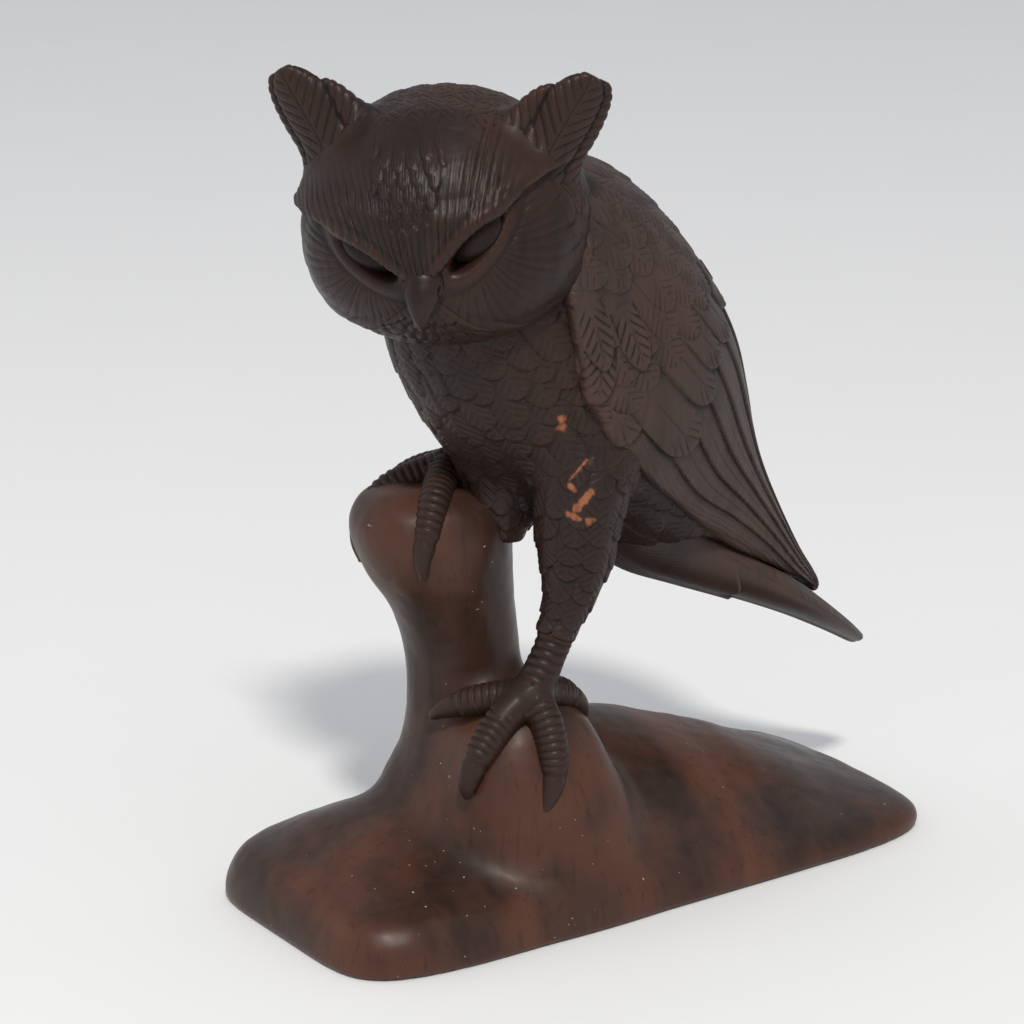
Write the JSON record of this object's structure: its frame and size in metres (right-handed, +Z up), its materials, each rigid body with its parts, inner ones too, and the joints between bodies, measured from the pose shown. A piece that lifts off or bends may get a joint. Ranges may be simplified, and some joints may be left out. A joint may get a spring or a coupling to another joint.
{
  "type": "carved owl figurine",
  "caption": "Dark carved wooden horned owl, head turned and bent down, standing with one foot on a stump and one on its long mound-shaped base.",
  "frame": {"origin": "point of the flat underside of the base beneath the owl, on the owl's middle plane", "axes": "+Z up, the body of the owl looks along -Y and its left side is towards +X"},
  "size_m": [0.15, 0.3317, 0.3778],
  "materials": {
    "owl_wood": "dark brown stain under a satin wax polish, reddish where the grain shows",
    "base_wood": "dark brown stain rubbed to a reddish brown, polished smooth",
    "eye_wood": "nearly black stain, polished",
    "dowel_wood": "bare pale wood, unpolished"
  },
  "bodies": {
    "root": {"base": "base_wood", "stump": "base_wood", "torso": "owl_wood", "head": "owl_wood", "beak": "owl_wood", "eye_left": "eye_wood", "eye_right": "eye_wood", "ear_tuft_left": "owl_wood", "ear_tuft_right": "owl_wood", "wing_left": "owl_wood", "wing_right": "owl_wood", "tail": "owl_wood", "thigh_left": "owl_wood", "thigh_right": "owl_wood", "foot_left": "owl_wood", "foot_right": "owl_wood", "stump_dowel": "dowel_wood", "neck_dowel": "dowel_wood", "tail_dowel": "dowel_wood", "wing_dowel_left": "dowel_wood", "wing_dowel_right": "dowel_wood", "hip_dowel_left": "dowel_wood", "ankle_dowel_left": "dowel_wood", "perch_dowel_right": "dowel_wood", "ear_dowel_left": "dowel_wood", "ear_dowel_right": "dowel_wood"}
  },
  "joints": []
}
